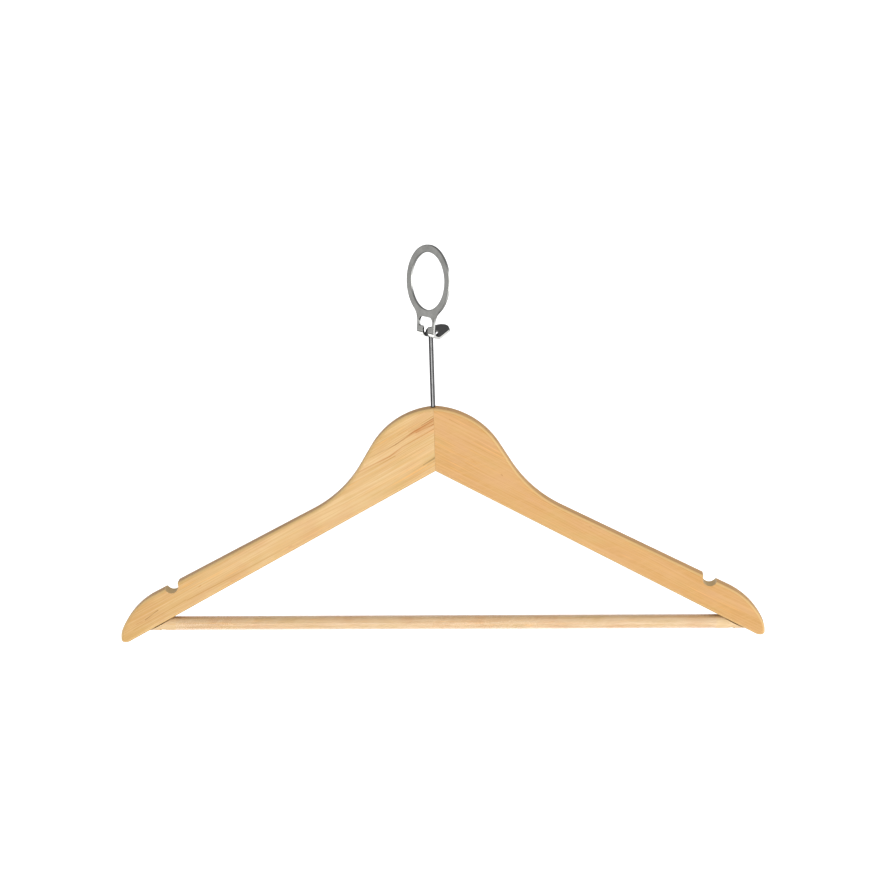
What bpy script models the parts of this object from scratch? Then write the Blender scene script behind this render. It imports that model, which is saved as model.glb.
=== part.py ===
"""Wooden coat hanger of the anti-theft kind: a mitred wooden frame with a trouser bar, hung by a steel
pin whose ball sits in the bent foot of a closed steel ring.

The world origin is the centre of the ring's hole, +X runs along the arms, -Y is the front and +Z is
up. The scene is in metres. Dimensions and helper arguments are in millimetres, scaled by MM where a
mesh, a curve or a modifier takes them."""

import math

import bmesh
import bpy
from mathutils import Matrix, Vector

MM = 0.001

# Ring: one stamped and bent steel sheet
SHEET = 1.5
HOLE_R = 19.3
RING_R = 24.3
NECK_HALF_W = 9.6
NECK_FILLET_R = 11.0
WINDOW_HALF_W = 7.7
WINDOW_TOP_Z = -24.1
WINDOW_FLOOR_Z = -30.5
WINDOW_TOP_R = 3.6
WINDOW_FLOOR_R = 1.4
BEND_Z = -33.2
BEND_INNER_R = 3.3
TONGUE_RISE = math.radians(33)
TONGUE_SIDE_L = 7.4
TONGUE_END_SAG = 4.3
SLOT_HALF_W = 2.9
SLOT_END_L = 4.2
RING_YAW = math.radians(-51.7)
RING_LEAN = math.radians(5.5)

# Pin: ball head, straight shank, retaining groove in the wood
BALL_R = 3.5
BALL_REST_GAP = 0.05
SHANK_R = 1.55
PIN_FREE_L = 51.5
PIN_SUNK_L = 22.0
GROOVE_DEPTH_IN = 15.0
GROOVE_R = 0.95
GROOVE_W = 1.9
BORE_CLEARANCE = 0.06
PIN_X = -0.6

# Wooden arms, drawn in the plane of the frame from the foot of the mitre at (0, 0)
WOOD_T = 12.0
MITRE_TOP_Z = 43.7
MITRE_GAP = 0.05
MITRE_ALLOWANCE = 6.0
CROWN_SLOPE = 3.8
CROWN_R = 55.3
NECK_SLOPE = 58.7
NECK_LINE_L = 15.2
SADDLE_R = 83.8
SHOULDER_SLOPE = 27.3
SHOULDER_L = 127.7
TIP_TOP_R = 50.7
TIP_TOP_SLOPE = 65.6
TIP_SIDE_R = 15.8
TIP_SIDE_L = 1.05
TIP_CORNER_R = 2.4
TIP_NOSE_R = 6.5
UNDER_SLOPE = 28.7
EDGE_ROUND = 2.2
NOTCH_X = 185.2
NOTCH_Z = -78.9
NOTCH_R = 4.9
NOTCH_LIP = 156.0
NOTCH_REACH = 12.0

# Mitre dowels and the brad that keeps the pin in
DOWEL_R = 2.5
DOWEL_L = 26.0
DOWEL_Z_UPPER = 15.0
DOWEL_Z_LOWER = 6.0
DOWEL_CHAMFER = 0.6
DOWEL_CLEARANCE = 0.05
BRAD_R = 0.6
BRAD_HEAD_R = 1.1
BRAD_L = 10.0
BRAD_CLEARANCE = 0.04
BRAD_FROM_PIN = -1.68

# Trouser bar with its sleeve and screws
BAR_R = 4.8
BAR_Z = -108.95
BAR_TILT = math.radians(-0.53)
BAR_END_GAP = 0.4
SLEEVE_IN_R = 4.84
SLEEVE_OUT_R = 5.08
SLEEVE_FROM = -183.5
SLEEVE_TO = 189.5
SCREW_R = 1.5
SCREW_L = 17.0
SCREW_HEAD_R = 2.9
SCREW_HEAD_RIM = 0.2
SCREW_SEAT = 1.3
SCREW_CLEARANCE = 0.04
SCREW_RECESS_L = 3.8
SCREW_RECESS_W = 0.7
SCREW_RECESS_D = 0.9

ROUND_STEPS = 48


def clear_scene():
    for obj in list(bpy.data.objects):
        bpy.data.objects.remove(obj, do_unlink=True)


def material(name, colour, metallic, roughness, alpha=1.0):
    made = bpy.data.materials.new(name)
    made.use_nodes = True
    shader = made.node_tree.nodes["Principled BSDF"]
    shader.inputs["Base Color"].default_value = (*colour, 1.0)
    shader.inputs["Metallic"].default_value = metallic
    shader.inputs["Roughness"].default_value = roughness
    shader.inputs["Alpha"].default_value = alpha
    return made


def placed(name, data, collection, start=(0, 0, 0), turn=Matrix.Identity(3)):
    obj = bpy.data.objects.new(name, data)
    obj.matrix_world = Matrix.Translation(Vector(start) * MM) @ turn.to_4x4()
    collection.objects.link(obj)
    return obj


def facing(axis):
    """The turn that lays a piece's own Z along an axis."""
    return Vector((0, 0, 1)).rotation_difference(Vector(axis)).to_matrix()


def outline(name, loops, half_depth, collection, start=(0, 0, 0), turn=Matrix.Identity(3)):
    """A flat outline and its holes, as a filled 2-D curve extruded to both sides."""
    curve = bpy.data.curves.new(name, "CURVE")
    curve.dimensions = "2D"
    curve.fill_mode = "BOTH"
    curve.extrude = half_depth * MM
    for points in loops:
        spline = curve.splines.new("POLY")
        spline.points.add(len(points) - 1)
        for place, (x, y) in zip(spline.points, points):
            place.co = (x * MM, y * MM, 0.0, 1.0)
        spline.use_cyclic_u = True
    return placed(name, curve, collection, start, turn)


def turned(name, profile, axis, start, collection, steps=ROUND_STEPS):
    """A solid of revolution. Its profile is (distance along the axis, radius), from the far end back."""
    closed = [(profile[0][0], 0.0), *profile, (profile[-1][0], 0.0)]
    points = [(radius * MM, 0.0, along * MM) for along, radius in closed]
    mesh = bpy.data.meshes.new(name)
    mesh.from_pydata(points, [(i, i + 1) for i in range(len(points) - 1)], [])
    obj = placed(name, mesh, collection, start, facing(axis))
    screw = obj.modifiers.new("turn", "SCREW")
    screw.steps = steps
    screw.render_steps = steps
    screw.use_merge_vertices = True
    screw.merge_threshold = 1e-6
    return obj


def rod(name, radius, length, axis, centre, collection, steps=ROUND_STEPS):
    bm = bmesh.new()
    bmesh.ops.create_cone(
        bm, cap_ends=True, segments=steps, radius1=radius * MM, radius2=radius * MM, depth=length * MM
    )
    mesh = bpy.data.meshes.new(name)
    bm.to_mesh(mesh)
    bm.free()
    return placed(name, mesh, collection, centre, facing(axis))


def block(name, size, centre, collection, turn=Matrix.Identity(3)):
    bm = bmesh.new()
    bmesh.ops.create_cube(bm, size=MM)
    bmesh.ops.scale(bm, vec=size, verts=bm.verts)
    mesh = bpy.data.meshes.new(name)
    bm.to_mesh(mesh)
    bm.free()
    return placed(name, mesh, collection, centre, turn)


def as_mesh(obj):
    """Turn a curve, or a mesh under modifiers, into the plain mesh it makes, in the same place."""
    bpy.context.view_layer.update()
    graph = bpy.context.evaluated_depsgraph_get()
    mesh = bpy.data.meshes.new_from_object(obj.evaluated_get(graph))
    bm = bmesh.new()
    bm.from_mesh(mesh)
    bmesh.ops.remove_doubles(bm, verts=bm.verts, dist=1e-7)
    bmesh.ops.recalc_face_normals(bm, faces=bm.faces)
    bm.to_mesh(mesh)
    bm.free()
    name, place, collection = obj.name, obj.matrix_world.copy(), obj.users_collection[0]
    bpy.data.objects.remove(obj, do_unlink=True)
    made = bpy.data.objects.new(name, mesh)
    made.matrix_world = place
    collection.objects.link(made)
    return made


def finish(obj, look, origin):
    """Settle a piece's mesh, shade it smooth up to its edges, and put its origin where it is wanted."""
    made = as_mesh(obj)
    mesh = made.data
    centre = Vector(origin) * MM
    mesh.transform(Matrix.Translation(-centre) @ made.matrix_world)
    made.matrix_world = Matrix.Translation(centre)
    mesh.shade_smooth()
    mesh.set_sharp_from_angle(angle=math.radians(32))
    mesh.materials.clear()
    mesh.materials.append(look)
    return made


def cut(obj, *tools):
    for tool in tools:
        tool.display_type = "WIRE"
        tool.hide_render = True
        modifier = obj.modifiers.new("cut_" + tool.name, "BOOLEAN")
        modifier.operation = "DIFFERENCE"
        modifier.solver = "EXACT"
        modifier.object = tool


def join_flats(obj):
    """Make one face of each flat that a filled curve leaves in triangles."""
    modifier = obj.modifiers.new("flats", "DECIMATE")
    modifier.decimate_type = "DISSOLVE"
    modifier.angle_limit = math.radians(0.5)


def round_edges(obj, width, segments):
    """Bevel every edge where two faces meet at a right angle or nearly so."""
    modifier = obj.modifiers.new("edges", "BEVEL")
    modifier.width = width * MM
    modifier.segments = segments
    modifier.limit_method = "ANGLE"
    modifier.angle_limit = math.radians(60)


class Path:
    """A 2-D outline drawn like a pen stroke: position, heading, lines and tangent arcs."""

    def __init__(self, start, heading):
        self.points = [Vector(start)]
        self.heading = math.radians(heading)

    def line(self, length):
        step = Vector((math.cos(self.heading), math.sin(self.heading))) * length
        self.points.append(self.points[-1] + step)

    def line_to_x(self, x):
        self.line((x - self.points[-1].x) / math.cos(self.heading))

    def arc_to(self, heading, radius, step_deg=5.0):
        """Turn to a new heading along a circle. A heading below the present one turns right."""
        turn = math.radians(heading) - self.heading
        side = math.copysign(1.0, turn)
        left = Vector((-math.sin(self.heading), math.cos(self.heading)))
        centre = self.points[-1] + left * side * radius
        spoke = self.points[-1] - centre
        count = max(2, math.ceil(abs(math.degrees(turn)) / step_deg))
        for i in range(1, count + 1):
            self.points.append(centre + Matrix.Rotation(turn * i / count, 2) @ spoke)
        self.heading += turn


def circle_points(radius, steps):
    turns = [2 * math.pi * i / steps for i in range(steps)]
    return [(radius * math.cos(t), radius * math.sin(t)) for t in turns]


def corner(centre, radius, start, stop, steps=5):
    turns = [math.radians(start + (stop - start) * i / steps) for i in range(steps + 1)]
    return [(centre[0] + radius * math.cos(t), centre[1] + radius * math.sin(t)) for t in turns]


def mirrored(points):
    """Close a half outline, drawn from the centre line at the top to the centre line at the foot."""
    return [(x, y) for x, y in points] + [(-x, y) for x, y in reversed(points) if x > 1e-6]


def tongue_foot():
    """Height on the flat blank, below the hole, at which the bend ends."""
    return BEND_Z - (BEND_INNER_R + SHEET / 2) * (math.pi / 2 + TONGUE_RISE)


def ring_blank():
    """Outer outline of the ring before bending, as (across, up) points."""
    centre_x = NECK_HALF_W + NECK_FILLET_R
    centre_z = -math.sqrt((RING_R + NECK_FILLET_R) ** 2 - centre_x**2)
    leave = math.degrees(math.atan2(centre_z, centre_x))
    half = corner((0.0, 0.0), RING_R, 90, leave, 40)
    half += corner((centre_x, centre_z), NECK_FILLET_R, 180 + leave, 180, 9)[1:]
    side_end = tongue_foot() - TONGUE_SIDE_L
    end_r = (NECK_HALF_W**2 + TONGUE_END_SAG**2) / (2 * TONGUE_END_SAG)
    spread = math.degrees(math.asin(NECK_HALF_W / end_r))
    half += corner((0.0, side_end - TONGUE_END_SAG + end_r), end_r, spread - 90, -90, 9)
    return mirrored(half)


def window_and_slot():
    """The opening the ball goes in by, running down into the slot the shank hangs in."""
    top_x = WINDOW_HALF_W - WINDOW_TOP_R
    floor_x = WINDOW_HALF_W - WINDOW_FLOOR_R
    slot_end = tongue_foot() - SLOT_END_L
    half = [(0.0, WINDOW_TOP_Z)]
    half += corner((top_x, WINDOW_TOP_Z - WINDOW_TOP_R), WINDOW_TOP_R, 90, 0)
    half += corner((floor_x, WINDOW_FLOOR_Z + WINDOW_FLOOR_R), WINDOW_FLOOR_R, 0, -90)
    half += [(SLOT_HALF_W + 0.5, WINDOW_FLOOR_Z), (SLOT_HALF_W, WINDOW_FLOOR_Z - 0.5)]
    half += corner((0.0, slot_end + SLOT_HALF_W), SLOT_HALF_W, 0, -90)
    return mirrored(half)


def bent(point):
    """Where bending the blank's foot carries a point of its middle surface."""
    past = BEND_Z - point.y
    if past <= 0:
        return Vector((point.x, 0.0, point.y))
    radius = BEND_INNER_R + SHEET / 2
    turn = min(past / radius, math.pi / 2 + TONGUE_RISE)
    on_arc = Vector((point.x, radius * (1 - math.cos(turn)), BEND_Z - radius * math.sin(turn)))
    return on_arc + Vector((0.0, math.sin(turn), -math.cos(turn))) * (past - turn * radius)


def ring_turn():
    """How the ring hangs: turned about the upright pin, and leaning on its rail."""
    return Matrix.Rotation(RING_YAW, 3, "Z") @ Matrix.Rotation(-RING_LEAN, 3, "X")


def security_ring(collection, look):
    loops = [ring_blank(), circle_points(HOLE_R, 72), window_and_slot()]
    obj = as_mesh(outline("security_ring", loops, 0.0, collection, turn=ring_turn()))
    bm = bmesh.new()
    bm.from_mesh(obj.data)
    bend_steps = 12
    for i in range(bend_steps + 1):
        line = (0.0, (BEND_Z + (tongue_foot() - BEND_Z) * i / bend_steps) * MM, 0.0)
        whole = bm.verts[:] + bm.edges[:] + bm.faces[:]
        bmesh.ops.bisect_plane(bm, geom=whole, plane_co=line, plane_no=(0, 1, 0), dist=1e-7)
    for vert in bm.verts:
        vert.co = bent(vert.co / MM) * MM
    bm.to_mesh(obj.data)
    bm.free()
    sheet = obj.modifiers.new("sheet", "SOLIDIFY")
    sheet.thickness = SHEET * MM
    sheet.offset = 0.0
    sheet.use_even_offset = True
    return finish(obj, look, (0, 0, 0))


def ball_centre():
    """Centre of the ball, resting on the two lips of the slot at the bottom of the bend."""
    rise = math.sqrt(BALL_R**2 - SLOT_HALF_W**2)
    height = BEND_Z - BEND_INNER_R + rise + BALL_REST_GAP
    return ring_turn() @ Vector((0.0, BEND_INNER_R + SHEET / 2, height))


def frame_point(x, y, z):
    """A point of the wooden frame, given from the foot of the mitre, in the world."""
    ball = ball_centre()
    return Vector((ball.x - PIN_X + x, ball.y + y, ball.z - PIN_FREE_L - MITRE_TOP_Z + z))


def hanger_pin(collection, look):
    """Drawn upwards from the pin's buried end, with its origin in the ball, on both joints' axes."""
    length = PIN_SUNK_L + PIN_FREE_L
    groove = PIN_SUNK_L - GROOVE_DEPTH_IN
    neck = math.degrees(math.asin(SHANK_R / BALL_R))
    ball = corner((length, 0.0), BALL_R, 0, 180 - neck, 14)[1:]
    shank = [(groove + GROOVE_W / 2, SHANK_R), (groove + GROOVE_W / 2, GROOVE_R)]
    shank += [(groove - GROOVE_W / 2, GROOVE_R), (groove - GROOVE_W / 2, SHANK_R)]
    shank += [(0.5, SHANK_R), (0.0, SHANK_R - 0.5)]
    foot = frame_point(PIN_X, 0, MITRE_TOP_Z - PIN_SUNK_L)
    obj = turned("hanger_pin", [(length + BALL_R, 0.0)] + ball + shank, (0, 0, 1), foot, collection)
    return finish(obj, look, ball_centre())


def notch_outline():
    """Strap notch: a round bite with a slightly overhanging inner wall, open upwards."""
    curve = corner((NOTCH_X, NOTCH_Z), NOTCH_R, NOTCH_LIP, 360, 18)
    top = NOTCH_Z + NOTCH_REACH
    return [(curve[0][0], top), *curve, (curve[-1][0], top)]


def arm_outline():
    """Outline of the right arm, clockwise from the top of the mitre, with some wood left to trim there."""
    spare = MITRE_ALLOWANCE
    crown_rise = spare * math.tan(math.radians(CROWN_SLOPE))
    path = Path((MITRE_GAP - spare, MITRE_TOP_Z + crown_rise), -CROWN_SLOPE)
    path.line_to_x(MITRE_GAP)
    path.arc_to(-NECK_SLOPE, CROWN_R)
    path.line(NECK_LINE_L)
    path.arc_to(-SHOULDER_SLOPE, SADDLE_R)
    path.line(SHOULDER_L)
    path.arc_to(-TIP_TOP_SLOPE, TIP_TOP_R)
    path.arc_to(-90, TIP_SIDE_R)
    path.line(TIP_SIDE_L)
    path.arc_to(-170, TIP_CORNER_R, 12.0)
    path.arc_to(-180 - UNDER_SLOPE, TIP_NOSE_R, 9.0)
    path.line_to_x(MITRE_GAP - spare)
    return path.points


def board(name, points, side, half_depth, collection):
    """A flat piece standing in the frame's plane, from an outline drawn for the right-hand side."""
    upright = Matrix.Rotation(math.radians(90), 3, "X")
    drawn = [(x * side, z) for x, z in points]
    return as_mesh(outline(name, [drawn], half_depth, collection, frame_point(0, 0, 0), upright))


def under_normal(side):
    """Unit vector out of the underside of an arm."""
    slope = math.radians(UNDER_SLOPE)
    return Vector((-side * math.sin(slope), 0.0, -math.cos(slope)))


def underside_z(x):
    """Height of the arms' underside in the frame."""
    foot = arm_outline()[-1]
    return foot.y - (abs(x) - foot.x) * math.tan(math.radians(UNDER_SLOPE))


def bar_axis():
    return Vector((math.cos(BAR_TILT), 0.0, math.sin(BAR_TILT)))


def bar_centre(x):
    return frame_point(x, 0.0, BAR_Z + x * math.tan(BAR_TILT))


def bar_meets_arm(side):
    """Where the bar's axis meets the underside of an arm."""
    rise = underside_z(0.0) - BAR_Z
    x = side * rise / (math.tan(math.radians(UNDER_SLOPE)) + side * math.tan(BAR_TILT))
    return bar_centre(x)


def screw_point(side, along):
    """A point on a bar screw's axis, this far above the underside of the arm."""
    return bar_meets_arm(side) - under_normal(side) * along


def screw_head_depth():
    """How far the screw's head lies below the underside of the arm."""
    return BAR_R / math.cos(math.radians(UNDER_SLOPE)) - SCREW_SEAT


def mitre_block(side, cutters):
    """All that lies on the far side of the mitre from one arm."""
    centre = frame_point(side * (MITRE_GAP - 10), 0, MITRE_TOP_Z / 2)
    return block("mitre_block", (20, 3 * WOOD_T, 2 * MITRE_TOP_Z), centre, cutters)


def arm(side, name, collection, cutters, look, bores):
    obj = board(name, arm_outline(), side, WOOD_T / 2, collection)
    join_flats(obj)
    round_edges(obj, EDGE_ROUND, 3)
    notch = board("notch_" + name, notch_outline(), side, WOOD_T, cutters)
    middle = screw_point(side, SCREW_L / 2 - 2)
    pilot = rod("pilot_" + name, SCREW_R + SCREW_CLEARANCE, SCREW_L, under_normal(side), middle, cutters)
    cut(obj, mitre_block(side, cutters), notch, pilot, *bores)
    return finish(obj, look, frame_point(0, 0, 0))


def mitre_bores(cutters):
    """Bores that run through both arms: the pin's and the two dowels'."""
    length = PIN_SUNK_L + 9.0
    middle = frame_point(PIN_X, 0, MITRE_TOP_Z - PIN_SUNK_L - 0.4 + length / 2)
    bores = [rod("pin_bore", SHANK_R + BORE_CLEARANCE, length, (0, 0, 1), middle, cutters)]
    for name, z in (("dowel_bore_upper", DOWEL_Z_UPPER), ("dowel_bore_lower", DOWEL_Z_LOWER)):
        radius = DOWEL_R + DOWEL_CLEARANCE
        bores.append(rod(name, radius, DOWEL_L + 1, (1, 0, 0), frame_point(0, 0, z), cutters))
    return bores


def dowel(name, z, collection, look):
    obj = rod(name, DOWEL_R, DOWEL_L, (1, 0, 0), frame_point(0, 0, z), collection)
    round_edges(obj, DOWEL_CHAMFER, 1)
    return finish(obj, look, frame_point(0, 0, z))


def brad_start():
    return frame_point(PIN_X + BRAD_FROM_PIN, WOOD_T / 2 - BRAD_L, MITRE_TOP_Z - GROOVE_DEPTH_IN)


def brad_shape(name, grow, collection):
    profile = [(BRAD_L + grow, BRAD_HEAD_R + grow), (BRAD_L - 0.6, BRAD_HEAD_R + grow)]
    profile += [(BRAD_L - 0.8, BRAD_R + grow), (1.2, BRAD_R + grow), (-grow, BRAD_R * 0.3 + grow)]
    return turned(name, profile, (0, 1, 0), brad_start(), collection, 24)


def trouser_bar(collection, cutters, look):
    """A rod whose ends are planed to lie along the undersides of the arms, with its screw seats."""
    obj = rod("trouser_bar", BAR_R, 2 * NOTCH_X + 80, bar_axis(), bar_centre(0.0), collection)
    for side, name in ((-1, "left"), (1, "right")):
        along = facing(-under_normal(side))
        reach = 60.0
        middle = screw_point(side, reach / 2 - BAR_END_GAP)
        wedge = block("wedge_" + name, (reach, reach, reach), middle, cutters, along)
        head, shank = SCREW_HEAD_R + 0.06, SCREW_R + SCREW_CLEARANCE
        rim = 6.0 + SCREW_HEAD_RIM + 0.06
        profile = [(30.0, shank), (rim + SCREW_HEAD_R - SCREW_R, shank), (rim, head), (0.0, head)]
        start = screw_point(side, -screw_head_depth() - 6.0)
        seat = turned("seat_" + name, profile, -under_normal(side), start, cutters)
        cut(obj, wedge, seat)
    return finish(obj, look, bar_centre(0.0))


def bar_sleeve(collection, look):
    """Clear tube drawn over the bar between the two mitred ends."""
    mesh = bpy.data.meshes.new("bar_sleeve")
    length = (SLEEVE_TO - SLEEVE_FROM) / math.cos(BAR_TILT)
    mesh.from_pydata([(SLEEVE_IN_R * MM, 0, length * MM), (SLEEVE_IN_R * MM, 0, 0)], [(0, 1)], [])
    obj = placed("bar_sleeve", mesh, collection, bar_centre(SLEEVE_FROM), facing(bar_axis()))
    tube = obj.modifiers.new("turn", "SCREW")
    tube.steps = ROUND_STEPS
    tube.render_steps = ROUND_STEPS
    tube.use_merge_vertices = True
    tube.merge_threshold = 1e-6
    wall = obj.modifiers.new("wall", "SOLIDIFY")
    wall.thickness = (SLEEVE_OUT_R - SLEEVE_IN_R) * MM
    wall.offset = 1.0
    wall.use_even_offset = True
    return finish(obj, look, bar_centre(0.0))


def bar_screw(side, name, collection, cutters, look):
    """Countersunk cross-head wood screw, driven up through the bar's end into the arm."""
    cone = SCREW_HEAD_R - SCREW_R
    profile = [(SCREW_L, 0.0), (SCREW_L - 4.0, SCREW_R), (SCREW_HEAD_RIM + cone, SCREW_R)]
    profile += [(SCREW_HEAD_RIM, SCREW_HEAD_R), (0.0, SCREW_HEAD_R)]
    start = screw_point(side, -screw_head_depth())
    obj = turned(name, profile, -under_normal(side), start, collection, 32)
    along = facing(-under_normal(side))
    for i in (0, 1):
        size = (SCREW_RECESS_L, SCREW_RECESS_W, 2 * SCREW_RECESS_D)
        slot = along @ Matrix.Rotation(math.radians(90 * i), 3, "Z")
        cut(obj, block(f"recess_{i}_{name}", size, start, cutters, slot))
    return finish(obj, look, start)


def build():
    clear_scene()
    scene = bpy.context.scene
    hanger = bpy.data.collections.new("clothes_hanger")
    cutters = bpy.data.collections.new("cutters")
    cutters.hide_render = True
    scene.collection.children.link(hanger)
    scene.collection.children.link(cutters)
    wood_left = material("arm_wood_left", (0.72, 0.47, 0.22), 0.0, 0.42)
    wood_right = material("arm_wood_right", (0.70, 0.44, 0.20), 0.0, 0.42)
    bar_wood = material("bar_wood", (0.74, 0.50, 0.28), 0.0, 0.45)
    dowel_upper_wood = material("dowel_upper_wood", (0.66, 0.47, 0.27), 0.0, 0.6)
    dowel_lower_wood = material("dowel_lower_wood", (0.66, 0.47, 0.27), 0.0, 0.6)
    ring_steel = material("ring_steel", (0.38, 0.38, 0.37), 1.0, 0.38)
    pin_steel = material("pin_steel", (0.45, 0.45, 0.45), 1.0, 0.25)
    brad_steel = material("brad_steel", (0.5, 0.5, 0.48), 1.0, 0.35)
    screw_left_steel = material("screw_left_steel", (0.55, 0.52, 0.42), 1.0, 0.35)
    screw_right_steel = material("screw_right_steel", (0.55, 0.52, 0.42), 1.0, 0.35)
    clear_vinyl = material("clear_vinyl", (0.93, 0.90, 0.88), 0.0, 0.2, 0.35)
    security_ring(hanger, ring_steel)
    hanger_pin(hanger, pin_steel)
    bores = mitre_bores(cutters)
    brad_bore = brad_shape("brad_bore", BRAD_CLEARANCE, cutters)
    arm(-1, "left_arm", hanger, cutters, wood_left, [*bores, brad_bore])
    arm(1, "right_arm", hanger, cutters, wood_right, bores)
    dowel("mitre_dowel_upper", DOWEL_Z_UPPER, hanger, dowel_upper_wood)
    dowel("mitre_dowel_lower", DOWEL_Z_LOWER, hanger, dowel_lower_wood)
    finish(brad_shape("pin_lock_brad", 0.0, hanger), brad_steel, brad_start())
    trouser_bar(hanger, cutters, bar_wood)
    bar_sleeve(hanger, clear_vinyl)
    bar_screw(-1, "bar_screw_left", hanger, cutters, screw_left_steel)
    bar_screw(1, "bar_screw_right", hanger, cutters, screw_right_steel)


build()
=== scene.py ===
"""Looks for the anti-theft wooden clothes hanger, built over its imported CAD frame.

Shapes are drawn in millimetres and scaled by MM. The wooden pieces are drawn from the foot of the
mitre, the ring from the centre of its hole, as in the CAD model, only with finer steps."""

import math

import bmesh
import bpy
from mathutils import Matrix, Vector


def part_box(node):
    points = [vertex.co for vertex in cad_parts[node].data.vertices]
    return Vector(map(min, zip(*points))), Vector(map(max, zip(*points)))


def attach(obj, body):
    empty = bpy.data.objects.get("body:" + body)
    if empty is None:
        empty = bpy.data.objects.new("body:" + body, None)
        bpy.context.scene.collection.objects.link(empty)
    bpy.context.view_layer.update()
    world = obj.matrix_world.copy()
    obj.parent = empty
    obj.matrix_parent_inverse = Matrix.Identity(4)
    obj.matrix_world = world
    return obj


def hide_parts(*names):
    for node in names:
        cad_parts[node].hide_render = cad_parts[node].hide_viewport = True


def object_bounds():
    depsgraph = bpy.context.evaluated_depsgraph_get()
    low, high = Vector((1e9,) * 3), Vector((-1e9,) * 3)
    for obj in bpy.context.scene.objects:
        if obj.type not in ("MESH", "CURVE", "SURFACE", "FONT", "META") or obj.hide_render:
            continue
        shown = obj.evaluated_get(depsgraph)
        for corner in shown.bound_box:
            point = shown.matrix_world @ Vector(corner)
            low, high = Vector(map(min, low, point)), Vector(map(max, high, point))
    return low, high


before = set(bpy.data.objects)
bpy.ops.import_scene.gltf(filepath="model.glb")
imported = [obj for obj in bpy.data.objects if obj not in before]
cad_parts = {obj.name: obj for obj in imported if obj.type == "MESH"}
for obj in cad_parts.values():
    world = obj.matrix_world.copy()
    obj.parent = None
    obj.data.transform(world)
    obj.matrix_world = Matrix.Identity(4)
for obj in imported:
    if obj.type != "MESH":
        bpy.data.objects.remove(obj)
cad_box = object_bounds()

MM = 0.001

# Ring sheet
SHEET = 1.5
HOLE_R = 19.3
RING_R = 24.3
NECK_HALF_W = 9.6
NECK_FILLET_R = 11.0
WINDOW_HALF_W = 7.7
WINDOW_TOP_Z = -24.1
WINDOW_FLOOR_Z = -30.5
WINDOW_TOP_R = 3.6
WINDOW_FLOOR_R = 1.4
BEND_Z = -33.2
BEND_INNER_R = 3.3
TONGUE_RISE = math.radians(33)
TONGUE_SIDE_L = 7.4
TONGUE_END_SAG = 4.3
SLOT_HALF_W = 2.9
SLOT_MOUTH_R = 0.6
SLOT_END_L = 4.2
RING_YAW = math.radians(-51.7)
RING_LEAN = math.radians(5.5)

# Pin
BALL_R = 3.5
SHANK_R = 1.55
PIN_FREE_L = 51.5
PIN_SUNK_L = 22.0
GROOVE_DEPTH_IN = 15.0
GROOVE_R = 0.95
GROOVE_W = 1.9
GROOVE_FLANK = 0.1
BALL_NECK = 0.25
FOOT_CHAMFER = 0.5
PIN_X = -0.6
BRAD_FROM_PIN = -1.68
BRAD_HEAD_R = 1.1

# Arms
WOOD_T = 12.0
MITRE_TOP_Z = 43.7
MITRE_GAP = 0.02
CROWN_SLOPE = 3.8
CROWN_R = 55.3
NECK_SLOPE = 58.7
NECK_LINE_L = 15.2
SADDLE_R = 83.8
SHOULDER_SLOPE = 27.3
SHOULDER_L = 127.7
TIP_TOP_R = 50.7
TIP_TOP_SLOPE = 65.6
TIP_SIDE_R = 15.8
TIP_SIDE_L = 1.05
TIP_CORNER_R = 2.4
TIP_NOSE_R = 6.5
UNDER_SLOPE = 28.7
EDGE_ROUND = 2.2
NOTCH_X = 185.2
NOTCH_Z = -78.9
NOTCH_R = 4.9
NOTCH_LIP = 156.0
DOWEL_Z_UPPER = 15.0
DOWEL_Z_LOWER = 6.0
DOWEL_BORE_R = 2.55
DOWEL_BORE_L = 27.0
BORE_GAP = 0.08
PIN_BORE_L = 31.0
PIN_BORE_LIFT = 4.1
BRAD_BORE_L = 2.0

# Bar
BAR_R = 4.8
BAR_Z = -108.95
BAR_TILT = math.radians(-0.53)
BAR_END_GAP = 0.4
SLEEVE_R = 5.07
SLEEVE_IN_R = 4.85
SLEEVE_FROM = -183.5
SLEEVE_TO = 189.5
SCREW_SEAT_R = 2.96
SCREW_BORE_R = 1.54
SEAT_FLANK_L = 1.4
SEAT_BELOW = 6.0
SEAT_DEPTH = 0.26
SEAT_LIFT = 1.3

# How much light the studio throws on a front face, and how much of it comes back as gloss
STUDIO = 1.75
GLOSS = 0.07

# Studio floor, in metres
FLOOR_DROP = 0.45
FLOOR_HALF_SIZE = 30.0

# Camera: angles in degrees, distance and target in millimetres
CAMERA_AZIMUTH = 3.26
CAMERA_ELEVATION = 13.57
CAMERA_ROLL = 1.73
CAMERA_DISTANCE = 1594.0
CAMERA_TARGET = (5.42, 0.0, 18.43)
CAMERA_LENS = 95.45

low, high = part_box("mitre_dowel_lower")
mitre_foot = (low + high) / 2 / MM - Vector((0, 0, DOWEL_Z_LOWER))


# ---------------------------------------------------------------- drawing


def placed(name, data, start=(0, 0, 0), turn=Matrix.Identity(3)):
    obj = bpy.data.objects.new(name, data)
    obj.matrix_world = Matrix.Translation(Vector(start) * MM) @ turn.to_4x4()
    bpy.context.scene.collection.objects.link(obj)
    return obj


def facing(axis):
    return Vector((0, 0, 1)).rotation_difference(Vector(axis)).to_matrix()


def outline(name, loops, half_depth, start=(0, 0, 0), turn=Matrix.Identity(3)):
    """A flat plate from closed loops of points; a loop inside another is a hole."""
    curve = bpy.data.curves.new(name, "CURVE")
    curve.dimensions = "2D"
    curve.fill_mode = "BOTH"
    curve.extrude = half_depth * MM
    for points in loops:
        spline = curve.splines.new("POLY")
        spline.points.add(len(points) - 1)
        for place, (x, y) in zip(spline.points, points):
            place.co = (x * MM, y * MM, 0.0, 1.0)
        spline.use_cyclic_u = True
    return placed(name, curve, start, turn)


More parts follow.
